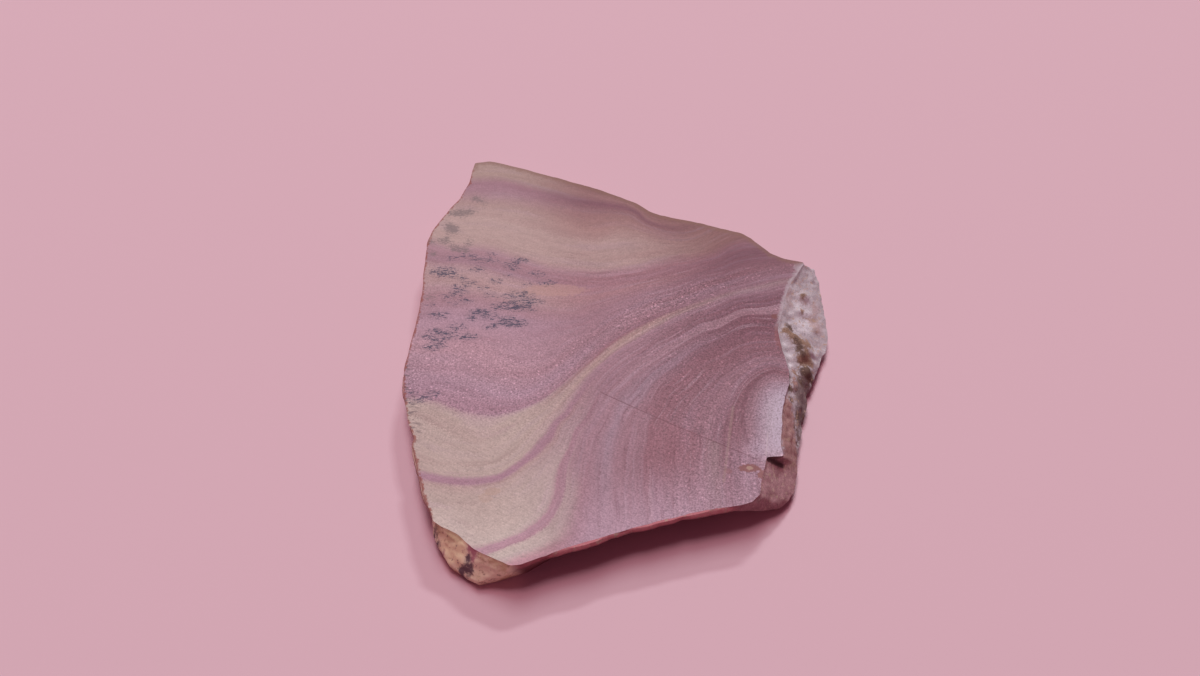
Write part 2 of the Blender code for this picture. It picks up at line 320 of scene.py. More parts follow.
# ----------------------------------------------------------------------------------------------------------
# Flow bands
#
# The lava drew out in sheets while it was still hot, so every band follows its neighbours. A smooth field
# gives each point its place in the stack of bands; it passes through these lines, each read on the upper sawn
# face.
# ----------------------------------------------------------------------------------------------------------
# Each line: its place in the stack, then pixels of the camera's frame, across and down.
BAND_LINES = (
    (0.00, ((476, 162), (510, 166), (550, 178), (600, 191), (648, 214))),
    (0.06, ((474, 180), (500, 180), (530, 187), (560, 195), (600, 203), (640, 214))),
    (0.13, ((465, 205), (500, 206), (550, 215), (600, 225), (650, 231), (690, 236))),
    (0.28, ((428, 243), (450, 250), (480, 250), (510, 258), (545, 268), (600, 273), (640, 268), (680, 258),
            (720, 245), (745, 236))),
    (0.36, ((427, 260), (460, 263), (500, 272), (530, 280), (560, 286), (600, 287), (650, 278), (690, 268),
            (720, 259), (760, 248))),
    (0.50, ((420, 325), (470, 322), (525, 330), (560, 331), (590, 322), (620, 306), (650, 294), (700, 278),
            (740, 266), (785, 258))),
    (0.66, ((425, 400), (440, 403), (460, 411), (480, 415), (500, 415), (520, 410), (540, 401), (565, 382),
            (580, 368), (595, 354), (610, 341), (630, 328), (650, 318), (680, 306), (710, 294), (745, 283),
            (770, 276))),
    (0.78, ((421, 472), (440, 476), (460, 478), (480, 478), (500, 474), (520, 461), (540, 440), (555, 420),
            (572, 400), (585, 383), (600, 368), (620, 352), (640, 340), (660, 328), (680, 317), (700, 309),
            (720, 302), (745, 295), (770, 290))),
    (0.81, ((423, 482), (440, 485), (460, 487), (480, 486), (500, 482), (512, 476), (525, 466), (540, 455),
            (555, 438), (570, 415), (590, 388))),
    (0.90, ((482, 548), (500, 542), (520, 534), (535, 524), (547, 512), (553, 500), (556, 485), (560, 465),
            (575, 430), (600, 392), (630, 362), (660, 342), (700, 320), (740, 306), (778, 300))),
    (0.925, ((492, 552), (510, 545), (530, 537), (545, 527), (556, 512), (562, 500), (566, 480), (572, 455))),
    (1.00, ((590, 541), (592, 500), (594, 470), (601, 435), (615, 405), (640, 378), (680, 350), (720, 331),
            (775, 318))),
    (1.10, ((627, 529), (627, 500), (628, 470), (634, 435), (650, 402), (680, 370), (720, 345), (778, 332))),
    (1.20, ((650, 523), (649, 490), (650, 460), (655, 425), (672, 395), (700, 369), (740, 347), (780, 343))),
    (1.35, ((700, 512), (699, 480), (700, 450), (706, 420), (722, 392), (750, 366), (787, 362))),
    (1.50, ((738, 505), (735, 470), (735, 440), (740, 410), (750, 388), (775, 372), (800, 378))),
    (1.60, ((760, 490), (757, 455), (756, 425), (761, 400), (775, 386), (800, 395))),
    (1.70, ((777, 455), (776, 425), (780, 405))),
)
# Where the stack of bands ends.
BAND_END = 1.75
# How far the bands move along x and y for each millimetre of depth.
DIP = (0.35, -0.25)
# The field is worked out in units of this many millimetres, and the tiny share lets it miss a line by a hair.
STIFFNESS_SPAN = 40.0
SLACK = 1e-5
# The logarithm of a distance is taken from this upwards only.
LEAST_SQUARE = 1e-12
# The slab's many points are worked through in this many batches.
BATCHES = 60

# The camera, in millimetres, because lines and marks are placed on the sawn face by where it sees them.
AIM = np.array((-3.3, 0.1, THICKNESS))
CAMERA_RISE = np.radians(52.0)
CAMERA_DISTANCE = 206.0
LENS, SENSOR_WIDTH = 35.0, 36.0
FRAME_WIDTH, FRAME_HEIGHT = 1200, 676


def on_face(pixels):
    """Where the camera sees these pixels of its frame on the upper sawn face.

    The ray through a pixel is the way ahead, plus the pixel's offset from the middle of the frame across and
    up. It is made as long as it takes to come down from the camera to the face.
    """
    ahead = np.array((0.0, np.cos(CAMERA_RISE), -np.sin(CAMERA_RISE)))
    up = np.array((0.0, np.sin(CAMERA_RISE), np.cos(CAMERA_RISE)))
    off_middle = (np.array(pixels) - (FRAME_WIDTH / 2, FRAME_HEIGHT / 2)) * SENSOR_WIDTH / LENS / FRAME_WIDTH
    rays = ahead + off_middle[:, :1] * (1.0, 0.0, 0.0) - off_middle[:, 1:] * up
    return (AIM + CAMERA_DISTANCE * (rays * ahead[2] / rays[:, 2:] - ahead))[:, :2]


def bend(square):
    """Thin-plate kernel of a squared distance: its half, times its logarithm."""
    return 0.5 * square * np.log(np.maximum(square, LEAST_SQUARE))


def band_field(lines):
    """Thin-plate surface through the lines, whose height over a point is that point's place in the bands.

    A weighted kernel stands on each point of each line, over a tilted plane. The weights come from one set of
    linear equations, which say that the surface has each line's height all along it.
    """
    knots = np.vstack([on_face(line) for _, line in lines]) / STIFFNESS_SPAN
    heights = np.concatenate([np.full(len(line), height) for height, line in lines])
    count = len(knots)
    plane = np.column_stack([np.ones(count), knots])
    kernels = bend(((knots[:, None] - knots[None]) ** 2).sum(-1)) + SLACK * np.eye(count)
    system = np.block([[kernels, plane], [plane.T, np.zeros((3, 3))]])
    weights = np.linalg.solve(system, np.concatenate([heights, np.zeros(3)]))

    def height_over(places):
        spots = places / STIFFNESS_SPAN
        reach = bend(((spots[:, None] - knots[None]) ** 2).sum(-1))
        return reach @ weights[:count] + np.column_stack([np.ones(len(spots)), spots]) @ weights[count:]

    return height_over


def store(name, values):
    """Keep one number for each point of the slab, for its material to read."""
    slab_mesh.attributes.new(name, "FLOAT", "POINT").data.foreach_set("value", values.astype(np.float32))


depth = (THICKNESS - points[:, 2])[:, None]
down_dip = points[:, :2] + depth * DIP
height_over = band_field(BAND_LINES)
store("band", np.concatenate([height_over(some) for some in np.array_split(down_dip, BATCHES)]))


# ----------------------------------------------------------------------------------------------------------
# Stains and growths
#
# Iron has stained the weathered edge ochre and rust, a chalky skin has grown on the right, and manganese has
# crept in from the left as dendrites: flat, feathery ink marks, longest along the bands.
# ----------------------------------------------------------------------------------------------------------
# Each growth: its pixel in the camera's frame, half its width in millimetres, strength.
DENDRITES = (
    (446, 272, 2.2, 1.6), (436, 272, 1.0, 0.9), (451, 258, 1.4, 0.8), (468, 255, 1.5, 0.8),
    (476, 260, 1.4, 0.9), (490, 260, 1.5, 0.9), (491, 254, 1.2, 0.8), (511, 264, 1.5, 1.0),
    (520, 260, 1.5, 1.1), (514, 268, 1.2, 0.8), (537, 274, 1.4, 1.2), (548, 283, 1.5, 1.2),
    (477, 269, 1.5, 0.9), (497, 281, 1.4, 0.9), (484, 288, 1.1, 0.8), (470, 283, 1.3, 0.9),
    (461, 278, 1.2, 0.9), (458, 287, 1.3, 0.9), (526, 284, 1.2, 0.7), (508, 275, 1.0, 0.6),
    (456, 294, 1.6, 0.8), (445, 297, 1.2, 0.7), (462, 291, 1.2, 0.6), (491, 295, 1.5, 0.8),
    (514, 296, 1.8, 0.9), (526, 293, 1.6, 0.9), (468, 301, 1.4, 0.7), (452, 303, 1.3, 0.7),
    (514, 303, 1.5, 1.0), (528, 302, 1.6, 1.0), (538, 301, 1.3, 0.8), (500, 306, 1.6, 1.1),
    (516, 308, 1.5, 1.0), (529, 309, 1.4, 0.9), (431, 305, 1.2, 0.6), (477, 312, 1.5, 0.9),
    (487, 313, 1.5, 1.0), (439, 315, 1.8, 1.0), (474, 318, 1.5, 0.8), (492, 318, 1.3, 0.7),
    (507, 319, 1.6, 1.1), (511, 324, 1.6, 1.1), (520, 323, 1.4, 1.0), (503, 323, 1.1, 0.8),
    (457, 327, 1.7, 1.0), (491, 327, 1.3, 1.1), (436, 331, 1.3, 0.9), (429, 336, 1.3, 0.9),
    (447, 333, 1.3, 1.0), (437, 340, 1.4, 1.1), (447, 338, 1.2, 0.9), (470, 336, 1.5, 1.1),
    (461, 337, 1.1, 0.7), (428, 348, 1.3, 0.9), (438, 346, 1.5, 1.1), (434, 393, 1.2, 0.9),
    (428, 397, 1.2, 0.8), (420, 400, 1.1, 0.8), (414, 393, 1.1, 0.8), (413, 402, 0.9, 0.7),
)
# Growths and smudges are wider than they are high, by these shares.
GROWTH_SLIMNESS = 0.5
SMUDGE_SLIMNESS = 0.8
# Each smudge: x, y, half its width, strength.
SMUDGES = (
    (-27.5, 34.5, 1.2, 0.7), (-26.0, 33.5, 1.0, 0.6), (-28.5, 31.0, 1.3, 0.9), (-30.5, 30.5, 1.2, 0.9),
    (-32.0, 30.5, 1.0, 0.7), (-32.0, 27.0, 1.3, 0.9), (-31.0, 26.0, 1.2, 0.9), (-32.5, 23.5, 1.3, 0.9),
    (-35.5, 23.0, 1.0, 0.8), (-30.5, 21.5, 1.2, 0.9), (-28.5, 21.0, 1.2, 0.8), (-28.0, 23.0, 1.0, 0.7),
    (-34.5, 20.0, 1.2, 0.7), (-34.0, 9.5, 1.2, 0.6),
)
# Each list on the broken edge: what its marks are, and how tall they are for their width.
EDGE_STAINS = {
    "white": (1.0, (
        (34.6, 9.6, 1.6, 1.0), (33.6, 8.4, 1.6, 1.0), (34.6, 7.2, 1.4, 0.8), (33.0, 5.4, 1.6, 0.8),
        (31.3, 9.2, 0.9, 0.6), (30.9, 6.6, 0.8, 0.7), (34.0, 3.8, 1.4, 0.7), (31.6, 11.9, 0.8, 0.9),
        (29.2, -0.9, 0.7, 1.0), (29.7, -3.1, 1.0, 1.0), (29.8, -5.0, 0.9, 1.1), (29.3, -6.4, 0.5, 0.9),
        (35.2, -0.6, 1.0, 0.8), (34.7, -2.6, 0.8, 0.7),
    )),
    "blush": (1.6, (
        (36.2, 9.0, 1.0, 0.9), (35.2, 6.2, 0.8, 0.8), (36.4, 5.0, 1.0, 0.9), (31.0, 8.0, 0.9, 0.6),
        (31.0, 10.6, 1.0, 0.8), (33.6, 10.0, 0.9, 0.5), (36.0, 1.0, 1.2, 0.5), (33.2, 12.6, 1.6, 0.3),
    )),
    "ash": (1.7, (
        (32.6, -5.6, 1.2, 0.7), (32.6, -8.0, 1.2, 1.0), (31.2, -9.6, 1.3, 1.0), (32.0, -12.0, 1.3, 1.1),
        (30.8, -14.4, 0.9, 0.8), (31.4, -15.6, 1.0, 0.9), (30.4, -18.2, 0.7, 0.9),
    )),
    "brick": (2.0, (
        (28.6, -13.6, 0.9, 1.0), (28.5, -16.4, 1.2, 1.2), (28.2, -19.6, 1.3, 1.2), (28.3, -22.4, 1.4, 1.1),
        (30.4, -5.8, 0.6, 0.7), (30.4, -8.6, 0.6, 0.8), (29.8, -10.6, 0.5, 0.6),
    )),
    "rust": (1.0, (
        (29.9, 2.2, 0.8, 0.9), (30.9, 1.2, 0.9, 1.1), (31.9, 0.0, 1.1, 1.1), (33.0, 0.1, 1.2, 1.0),
        (33.9, 0.3, 0.8, 0.8), (33.0, -2.4, 1.1, 1.0), (32.1, -3.8, 1.1, 1.0), (33.8, -3.6, 0.7, 0.7),
        (30.8, -6.4, 0.7, 0.7), (33.9, 10.7, 0.7, 1.0), (33.4, 7.6, 0.6, 0.7), (35.6, 6.6, 0.8, 0.5),
        (35.6, 4.2, 0.8, 0.4), (29.2, 2.0, 0.5, 0.6), (29.6, -8.4, 0.7, 0.5),
    )),
    "umber": (1.3, (
        (30.6, 3.2, 0.8, 1.2), (31.4, 0.2, 0.7, 0.9), (31.8, -1.6, 0.8, 1.2), (32.4, -2.7, 0.5, 0.9),
        (32.6, -5.6, 0.9, 1.2), (33.6, -6.0, 0.9, 1.1), (31.6, -7.9, 0.7, 0.8), (29.5, -8.0, 0.4, 0.6),
        (29.3, -10.4, 0.6, 1.2), (29.3, -12.4, 0.5, 0.8), (31.9, -13.8, 0.7, 0.8), (30.5, -14.6, 0.6, 0.9),
        (32.0, -16.0, 0.6, 0.6), (29.8, -16.9, 0.5, 0.8), (30.0, -19.6, 0.4, 0.7), (33.9, 10.9, 0.4, 0.6),
    )),
    "ochre": (1.0, (
        (-27.6, -38.9, 1.5, 0.8), (-26.2, -40.6, 1.5, 1.0), (-25.0, -42.4, 1.0, 0.5),
        (-24.6, -40.4, 1.0, 0.8), (-28.8, -37.4, 0.8, 0.5), (-24.6, -45.0, 0.8, 0.9),
    )),
    "olive": (0.8, (
        (-28.6, -37.1, 1.2, 0.9), (-26.4, -38.6, 1.2, 1.0), (-25.2, -39.3, 0.8, 0.8),
        (-21.4, -42.2, 0.9, 0.7), (-19.6, -43.0, 1.0, 0.9), (-18.0, -43.9, 1.0, 0.9),
        (-22.4, -44.2, 1.2, 0.4),
    )),
    "madder": (1.0, (
        (-23.4, -40.7, 0.9, 1.0), (-22.6, -41.2, 0.6, 1.0), (-23.0, -42.2, 0.6, 0.8),
        (-26.4, -43.2, 0.7, 0.9), (-25.9, -44.2, 0.7, 0.9), (-28.2, -40.2, 0.5, 0.8),
    )),
    "soot": (1.0, (
        (-23.9, -42.0, 0.5, 1.1), (-25.2, -42.9, 0.5, 1.1), (-24.4, -43.1, 0.7, 0.7),
        (-23.4, -43.2, 0.5, 1.2), (-24.2, -44.9, 0.7, 1.0), (-29.6, -37.3, 0.7, 0.9),
        (-29.0, -38.5, 0.5, 0.8),
    )),
}


def spots(places, slimness=1.0):
    """Sum of bell-shaped spots (x, y, half width, strength), each `slimness` as high as it is wide."""
    total = np.zeros(len(points))
    for x, y, reach, strength in places:
        square = ((points[:, 0] - x) / reach) ** 2 + ((points[:, 1] - y) / (reach * slimness)) ** 2
        total += strength * np.exp(-square)
    return total


def way_in(places, outline):
    """Distance of each place from the nearest point of an outline, in millimetres."""
    return np.concatenate([
        np.sqrt(((some[:, None] - outline[None]) ** 2).sum(-1)).min(1)
        for some in np.array_split(places, BATCHES)
    ])


top_points = top.reshape(-1, 3)[:, :2]
store("inland", np.append(way_in(top_points, side[0, :, :2]), np.zeros(len(points) - len(top_points))))
broken_rings = np.zeros(len(skin))
broken_rings[len(top) + 1 : len(top) + len(side) - 1] = 1.0
store("broken", np.append(np.repeat(broken_rings, COLUMNS), (0.0, 0.0)))
for name, weights in zip(KINDS, kinds.T):
    store(name, np.append(np.tile(weights, len(skin)), (0.0, 0.0)))
grown = np.array(DENDRITES)
store("ink", spots(np.hstack([on_face(grown[:, :2]), grown[:, 2:]]), GROWTH_SLIMNESS))
store("smudge", spots(SMUDGES, SMUDGE_SLIMNESS))
for name, (slimness, places) in EDGE_STAINS.items():
    store(name, spots(places, slimness))


# ----------------------------------------------------------------------------------------------------------
# Rhyolite
#
# The stone's own material: a band colour for each place in the stack, fine striping along the bands, grain
# and pale specks, partly feldspar and partly painted glints, then dendrites and stains, with painted shade
# under the ledge and down the front undercut; satin where it is sawn, rough where it is broken.
# ----------------------------------------------------------------------------------------------------------
# Colours of the bands, 0 to 255 on a screen.
STONE = {
    "ivory": (199, 177, 172), "cream": (185, 159, 154), "tan": (182, 151, 148), "straw": (173, 140, 138),
    "olive cream": (170, 139, 134), "fawn": (169, 133, 131), "buff": (161, 120, 119),
    "peach": (178, 142, 144), "blush pink": (190, 142, 153), "petal": (183, 141, 154),
    "pink": (180, 138, 150), "lilac": (171, 133, 148), "chalk": (181, 156, 167), "rose": (168, 127, 137),
    "mist": (159, 126, 140), "dusty pink": (166, 121, 128), "heather": (161, 121, 133),
    "mauve": (158, 117, 129), "clay": (150, 108, 110), "smoke": (153, 113, 125), "grape": (158, 112, 122),
    "garnet": (148, 103, 114), "dusk": (144, 104, 117), "orchid": (168, 127, 142), "sage": (149, 115, 121),
    "bark": (136, 94, 95), "wine": (136, 93, 104), "plum": (126, 83, 95),
}
# Colours of what has grown in the stone, soaked into it or worn it, a paler tone towards the front, and the
# painted shadow under the ledge.
TINTS = {
    "paler_front": (180, 144, 160), "bluer sheet": (172, 142, 164), "redder sheet": (136, 78, 88),
    "pale thread": (182, 146, 160), "dark thread": (116, 70, 82), "ink halo": (142, 120, 126),
    "smudge": (124, 106, 108), "ink": (74, 68, 88), "fault": (105, 66, 76), "vein": (112, 72, 84),
    "bruise": (196, 170, 172), "sandy seam": (165, 136, 128), "soaked chalk": (192, 170, 188),
    "left rim": (144, 80, 74), "far rim": (136, 98, 88), "creeping crust": (184, 164, 172),
    "dash": (104, 86, 92), "painted ledge shadow": (64, 42, 46),
}
# The bands, from one list to the next as the stone goes from left to right: place in the stack, and colour.
LEFT_BANDS = (
    (0.00, "olive cream"), (0.045, "olive cream"), (0.07, "mauve"), (0.09, "heather"), (0.13, "straw"),
    (0.16, "tan"), (0.24, "tan"), (0.29, "rose"), (0.35, "heather"), (0.39, "peach"), (0.435, "peach"),
    (0.46, "rose"), (0.49, "lilac"), (0.54, "pink"), (0.61, "lilac"), (0.66, "orchid"), (0.665, "cream"),
    (0.776, "cream"), (0.781, "orchid"), (0.803, "orchid"), (0.808, "tan"), (0.835, "cream"),
    (0.893, "ivory"), (0.900, "petal"), (0.923, "petal"), (0.930, "ivory"), (0.955, "ivory"),
    (0.975, "blush pink"),
)
MIDDLE_BANDS = (
    (0.00, "bark"), (0.035, "clay"), (0.065, "plum"), (0.105, "clay"), (0.14, "buff"), (0.175, "straw"),
    (0.25, "straw"), (0.285, "rose"), (0.31, "grape"), (0.355, "grape"), (0.40, "dusty pink"),
    (0.48, "mauve"), (0.56, "mauve"), (0.62, "heather"), (0.68, "garnet"), (0.70, "fawn"), (0.735, "straw"),
    (0.765, "heather"), (0.82, "mauve"), (0.92, "smoke"), (0.98, "smoke"), (1.03, "mist"), (1.08, "smoke"),
    (1.15, "garnet"), (1.22, "garnet"), (1.30, "smoke"),
)
RIGHT_BANDS = (
    (0.22, "bark"), (0.28, "bark"), (0.33, "wine"), (0.38, "plum"), (0.46, "plum"), (0.56, "wine"),
    (0.66, "dusk"), (0.70, "dusk"), (0.73, "sage"), (0.78, "dusk"), (0.86, "plum"), (1.10, "plum"),
    (1.20, "wine"), (1.30, "wine"), (1.37, "smoke"), (1.41, "dusk"), (1.46, "wine"), (1.505, "wine"),
    (1.56, "smoke"), (1.62, "mist"), (1.69, "chalk"),
)
# The bands in front of the fault.
FRONT_BANDS = (
    (0.90, "heather"), (1.00, "heather"), (1.025, "mist"), (1.06, "mauve"), (1.15, "smoke"), (1.18, "garnet"),
    (1.32, "garnet"), (1.36, "smoke"), (1.41, "sage"), (1.46, "wine"), (1.53, "dusk"), (1.62, "smoke"),
)


class Reading:
    """A socket of the stone's shader, used like a number: each sum on it adds the node that works it out."""

    def __init__(self, tree, socket=None):
        self.tree, self.socket = tree, socket

    def make(self, kind, settings=(), inputs=(), output=0):
        """Add a node: first its settings, then its inputs by name or place, each a value or a reading."""
        made = self.tree.nodes.new("ShaderNode" + kind)
        for name, value in dict(settings).items():
            if name == "stops":
                fill_ramp(made.color_ramp, value)
            else:
                setattr(made, name, value)
        for name, value in dict(inputs).items():
            if isinstance(value, Reading):
                self.tree.links.new(value.socket, made.inputs[name])
            else:
                made.inputs[name].default_value = value
        return Reading(self.tree, made.outputs[output])

    def math(self, operation, *terms, clamp=False):
        """The sum, product or other Math operation of the terms."""
        return self.make("Math", {"operation": operation, "use_clamp": clamp}, enumerate(terms))

    def __add__(self, other):
        return self.math("ADD", self, other)

    def __sub__(self, other):
        return self.math("SUBTRACT", self, other)

    def __rsub__(self, other):
        return self.math("SUBTRACT", other, self)

    def __mul__(self, other):
        return self.math("MULTIPLY", self, other)

    def __truediv__(self, other):
        return self.math("DIVIDE", self, other)

    __radd__ = __add__

    def rise(self, low, high):
        """0 below low, 1 above high, and a smooth step between."""
        inputs = {"Value": self, "From Min": low, "From Max": high}
        return self.make("MapRange", {"interpolation_type": "SMOOTHSTEP"}, inputs)

    def tint(self, colour, share):
        """This colour, turned towards another by a share."""
        inputs = {"Factor": share, 6: self, 7: colour}
        return self.make("Mix", {"data_type": "RGBA"}, inputs, output=2)

    def stretched(self, across, up, through):
        """This vector, scaled along each axis."""
        return self.make("VectorMath", {"operation": "MULTIPLY"}, {0: self, 1: (across, up, through)})

    def times(self, factor):
        """This colour, brightened or darkened by a factor."""
        return self.make("VectorMath", {"operation": "SCALE"}, {0: self, "Scale": factor})


def linear(colour):
    """A screen colour, 0 to 255, as the linear light that a shader works with."""
    share = np.array(colour) / 255.0
    light = np.where(share <= 0.04045, share / 12.92, ((share + 0.055) / 1.055) ** 2.4)
    return (*light, 1.0)


def fill_ramp(ramp, bands):
    """Lay named stone colours along a ramp, at their places in the bands."""
    while len(ramp.elements) < len(bands):
        ramp.elements.new(1.0)
    for stop, (place, _) in zip(ramp.elements, bands):
        stop.position = place / BAND_END
    for stop, (_, name) in zip(ramp.elements, bands):
        stop.color = linear(STONE[name])


def read(name):
    """One of the numbers kept on the slab's points."""
    return stone.make("Attribute", {"attribute_name": name}, output="Fac")


def vector(*parts):
    """Up to three readings as one vector."""
    return stone.make("CombineXYZ", {}, enumerate(parts))


def noise(place, scale, detail=2.0, roughness=0.5):
    """Blender's noise, from 0 to 1, whose lumps are about 1/scale of the place's units wide."""
    inputs = {"Vector": place, "Scale": scale, "Detail": detail, "Roughness": roughness}
    return stone.make("TexNoise", {}, inputs)


def swing(place, scale, detail=2.0, roughness=0.5):
    """The same noise, swinging to either side of zero."""
    return noise(place, scale, detail, roughness) - 0.5


# A streak wavers this many times as far as the bands do, its middle is solid over a share of its width, and
# its tips fade from a little outside its length to a little inside it, in millimetres.
STREAK_WAVER = 12.0
SOLID_SHARE = 0.3
TIP_OUTSIDE, TIP_INSIDE = 0.1, 0.4
# How ragged a blot is, and where it starts and is full, as shares of its own size.
BLOT_RAGGEDNESS = 1.1
BLOT_START, BLOT_FULL = 1.05, 0.7


def beside(start, end):
    """Signed distance in millimetres from the line through two places, positive on its left."""
    run = np.subtract(end, start)
    across = np.array((-run[1], run[0])) / np.linalg.norm(run)
    return x * float(across[0]) + y * float(across[1]) - float(across @ start)


def streak(start, end, width):
    """1 on a wavering streak between two places, and 0 beyond its half width."""
    run = np.subtract(end, start)
    length = float(np.linalg.norm(run))
    ahead = x * float(run[0] / length) + y * float(run[1] / length) - float(run @ start) / length
    off = stone.math("ABSOLUTE", beside(start, end) + wander * STREAK_WAVER)
    begun = ahead.rise(-TIP_OUTSIDE, TIP_INSIDE)
    unfinished = ahead.rise(length + TIP_OUTSIDE, length - TIP_INSIDE)
    return off.rise(width, width * SOLID_SHARE) * begun * unfinished


def blot(middle, reach):
    """1 on a ragged oval mark and 0 outside it."""
    scaled = place.stretched(1.0 / reach[0], 1.0 / reach[1], 0.0)
    centre = (middle[0] / reach[0], middle[1] / reach[1], 0.0)
    away = stone.make("VectorMath", {"operation": "DISTANCE"}, {0: scaled, 1: centre}, output="Value")
    ragged = away + swing(place, 2.2, 3.0, 0.7) * BLOT_RAGGEDNESS
    return ragged.rise(BLOT_START, BLOT_FULL)


def banded(bands):
    """The colour that a list of stops gives to each place in the stack of bands."""
    return stone.make("ValToRGB", {"stops": bands}, {0: band / BAND_END})


def along_bands(fineness, drift):
    """A place for noise that runs along the bands: fine across them, and drifting with each millimetre."""
    return vector(band * fineness, x * drift, y * drift)


def tinted(colour, name, share):
    """This colour, turned towards a named tint by a share."""
    return colour.tint(linear(TINTS[name]), share)


rhyolite = bpy.data.materials.new("rhyolite")
rhyolite.use_nodes = True
shader = rhyolite.node_tree.nodes["Principled BSDF"]
stone = Reading(rhyolite.node_tree)
place = stone.make("TexCoord", output="Object").times(1.0 / MM)
x, y, z = [stone.make("SeparateXYZ", {}, {0: place}, output=axis) for axis in "XYZ"]
# How far right a place is, measured a little aslant, and how far it is from the sawn edge.
aside = x + y * 0.05
inland = read("inland")
broken_here = read("broken")
sawn_here = 1.0 - broken_here
on_crust = read("crust")
on_fracture = read("fracture")

# Each band edge is as grainy as the stone, so a place in the bands is shaken before its colour is looked up.
BAND_WAVER = 0.008
BAND_GRAIN = 0.016
wander = swing(place, 0.3, 3.0) * BAND_WAVER + swing(place, 3.2, 3.0, 0.75) * BAND_GRAIN
band = read("band") + wander

# A healed fault: the rock in front of it has other bands, and it shows as a thin dark line.
FAULT = ((-3.3, -11.6), (9.5, -18.6), (22.4, -25.0))
FAULT_WIDTH = 0.16
in_front = beside(FAULT[0], FAULT[-1]).rise(0.05, -0.05) * x.rise(-6.0, 0.0)
colour = banded(LEFT_BANDS).tint(banded(MIDDLE_BANDS), aside.rise(-20.0, -2.0))
colour = colour.tint(banded(RIGHT_BANDS), aside.rise(0.0, 24.0)).tint(banded(FRONT_BANDS), in_front)

# The last ivory band is a wedge that opens towards the front: farther in, heather stone takes its place.
wedge = band.rise(0.926, 0.932) * band.rise(0.985, 0.972) * y.rise(-32.0, -25.0)
colour = colour.tint(linear(STONE["heather"]), wedge * 0.8)

# The sawn face is made paler towards the front, less so on the right.
paler_front = inland.rise(12.0, -2.0) * y.rise(-18.0, -25.0) * x.rise(-11.0, -4.0)
colour = tinted(colour, "paler_front", paler_front * (0.95 - x.rise(8.0, 18.0) * 0.35))

# Sheets within every band: broad ones a little bluer or redder, then threads, then fine short strokes.
sheets = along_bands(34.0, 0.05)
hue = noise(sheets, 1.0, 3.0, 0.6)
colour = tinted(colour, "bluer sheet", hue.rise(0.50, 0.68) * 0.13)
colour = tinted(colour, "redder sheet", hue.rise(0.50, 0.32) * 0.11)
threads = noise(along_bands(62.0, 0.07), 1.0, 3.0, 0.6)
thicker_aside = aside.rise(-14.0, 4.0) * 0.16
pale_share = (thicker_aside + 0.2) * y.rise(24.0, 12.0)
dark_share = (thicker_aside + 0.14) * y.rise(30.0, 16.0)
colour = tinted(colour, "pale thread", threads.rise(0.57, 0.66) * pale_share)
colour = tinted(colour, "dark thread", threads.rise(0.43, 0.34) * dark_share)
stripes = swing(sheets, 2.3, 4.0, 0.75) + swing(along_bands(130.0, 0.9), 1.0, 3.0, 0.7)
colour = colour.times(1.0 + stripes * (0.30 + aside.rise(-8.0, 8.0) * 0.22))

# Grain, with pale crumbs and specks in it, most on the right and in the broad pink band.
grain = swing(place, 3.2, 2.0, 0.8)
crumbly = aside.rise(-2.0, 12.0) * y.rise(18.0, 6.0) + band.rise(0.50, 0.56) * band.rise(0.664, 0.655)
crumbs = noise(place.stretched(2.1, 3.8, 2.0), 1.0, 2.0, 0.6).rise(0.57, 0.68) * crumbly
# The pale specks are partly feldspar and partly painted glints of light on the sawn grains.
speck = stone.make("TexVoronoi", {}, {"Vector": place, "Scale": 1.35}, output="Distance")
specks_and_glints = speck.rise(0.30, 0.12) * noise(place, 0.6, 2.0).rise(0.45, 0.58)

# The saw ran at about 30 degrees to the slab and left fine hatching. The near left and far right took a finer
# polish, so the grain is calmer there.
SAW_X, SAW_Y = 0.87, -0.5
saw_run = x * SAW_X + y * SAW_Y
saw_step = y * SAW_X - x * SAW_Y
hatch = swing(vector(saw_run * 0.4, saw_step * 4.5), 1.0, 2.0)
near_left = aside.rise(-8.0, -14.0) * y.rise(-18.0, -24.0)
far_right = aside.rise(18.0, 24.0) * y.rise(2.0, 10.0)
graininess = y.rise(26.0, 10.0) * 0.7 + crumbly * 0.7 + 0.4 - near_left * 0.4 - far_right * 0.5
sawing = grain * graininess + hatch * y.rise(10.0, -15.0) * 0.35
colour = colour.times(0.985 - crumbly * 0.05 + sawing + crumbs * 0.34 + specks_and_glints * (crumbly * 0.45 + 0.08))

# A dendrite's twigs are where a noise is high, and the more of it the nearer the middle of the growth. Each
# growth has a faint halo, and beyond the dendrites are blurred smudges of the same ink.
growth = stone.math("MINIMUM", read("ink"), 1.15)
twigs = noise(place.stretched(1.5, 4.2, 1.0), 1.0, 3.0, 0.8)
ink = (growth * 0.10 + twigs).rise(0.575, 0.635) * growth.rise(0.10, 0.40) * sawn_here
feather = noise(place.stretched(2.1, 4.4, 1.0), 1.0, 3.0, 0.7)
smudge = (read("smudge") * 0.34 + feather).rise(0.58, 0.78) * sawn_here
colour = tinted(colour, "ink halo", growth * sawn_here * 0.16)
colour = tinted(colour, "smudge", smudge * 0.75)
colour = tinted(colour, "ink", ink * (0.55 + y.rise(25.0, 15.0) * 0.37))

# The fault's own line.
for start, end in zip(FAULT, FAULT[1:]):
    colour = tinted(colour, "fault", streak(start, end, FAULT_WIDTH) * sawn_here * 0.5)

# A dark vein curls round the chalky patch at the right; its pixels in the camera's frame.
VEIN = on_face(((779, 369), (761, 376), (748, 391), (742, 410), (743, 425), (748, 446))).tolist()
VEIN_WIDTH = 0.55
for start, end in zip(VEIN, VEIN[1:]):
    colour = tinted(colour, "vein", streak(start, end, VEIN_WIDTH) * sawn_here * 0.4)

